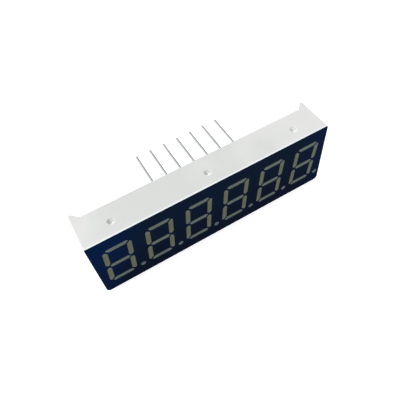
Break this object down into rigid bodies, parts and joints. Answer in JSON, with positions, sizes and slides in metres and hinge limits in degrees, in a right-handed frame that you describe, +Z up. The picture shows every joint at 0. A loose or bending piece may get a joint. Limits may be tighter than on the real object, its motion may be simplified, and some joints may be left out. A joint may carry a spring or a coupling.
{
  "type": "seven segment display",
  "caption": "Numeric display module: slanted seven segment digits with decimal points in one white housing with a navy face, and two rows of round pins at the back.",
  "frame": {"origin": "centre of the pin pattern, in the seating plane of the four feet", "axes": "+X along the display from the first digit to the last, +Y along the pins away from the face, +Z up the digits"},
  "size_m": [0.0432, 0.0133, 0.014],
  "materials": {
    "housing_plastic": "satin white moulding",
    "face_navy": "navy, slight sheen",
    "segment_resin": "clouded grey-green cast resin, unlit",
    "chip": "dark gold",
    "board_laminate": "glass fibre laminate",
    "filling_resin": "milky poured resin",
    "tinned_wire": "bright tinned"
  },
  "bodies": {
    "root": {"back_filling": "filling_resin", "circuit_board": "board_laminate", "digit_1_chips": "chip", "digit_1_decimal_point": "segment_resin", "digit_1_segment_a": "segment_resin", "digit_1_segment_b": "segment_resin", "digit_1_segment_c": "segment_resin", "digit_1_segment_d": "segment_resin", "digit_1_segment_e": "segment_resin", "digit_1_segment_f": "segment_resin", "digit_1_segment_g": "segment_resin", "digit_2_chips": "chip", "digit_2_decimal_point": "segment_resin", "digit_2_segment_a": "segment_resin", "digit_2_segment_b": "segment_resin", "digit_2_segment_c": "segment_resin", "digit_2_segment_d": "segment_resin", "digit_2_segment_e": "segment_resin", "digit_2_segment_f": "segment_resin", "digit_2_segment_g": "segment_resin", "digit_3_chips": "chip", "digit_3_decimal_point": "segment_resin", "digit_3_segment_a": "segment_resin", "digit_3_segment_b": "segment_resin", "digit_3_segment_c": "segment_resin", "digit_3_segment_d": "segment_resin", "digit_3_segment_e": "segment_resin", "digit_3_segment_f": "segment_resin", "digit_3_segment_g": "segment_resin", "digit_4_chips": "chip", "digit_4_decimal_point": "segment_resin", "digit_4_segment_a": "segment_resin", "digit_4_segment_b": "segment_resin", "digit_4_segment_c": "segment_resin", "digit_4_segment_d": "segment_resin", "digit_4_segment_e": "segment_resin", "digit_4_segment_f": "segment_resin", "digit_4_segment_g": "segment_resin", "digit_5_chips": "chip", "digit_5_decimal_point": "segment_resin", "digit_5_segment_a": "segment_resin", "digit_5_segment_b": "segment_resin", "digit_5_segment_c": "segment_resin", "digit_5_segment_d": "segment_resin", "digit_5_segment_e": "segment_resin", "digit_5_segment_f": "segment_resin", "digit_5_segment_g": "segment_resin", "digit_6_chips": "chip", "digit_6_decimal_point": "segment_resin", "digit_6_segment_a": "segment_resin", "digit_6_segment_b": "segment_resin", "digit_6_segment_c": "segment_resin", "digit_6_segment_d": "segment_resin", "digit_6_segment_e": "segment_resin", "digit_6_segment_f": "segment_resin", "digit_6_segment_g": "segment_resin", "face_film": "face_navy", "housing": "housing_plastic", "lower_row_pins": "tinned_wire", "upper_row_pins": "tinned_wire"}
  },
  "joints": []
}
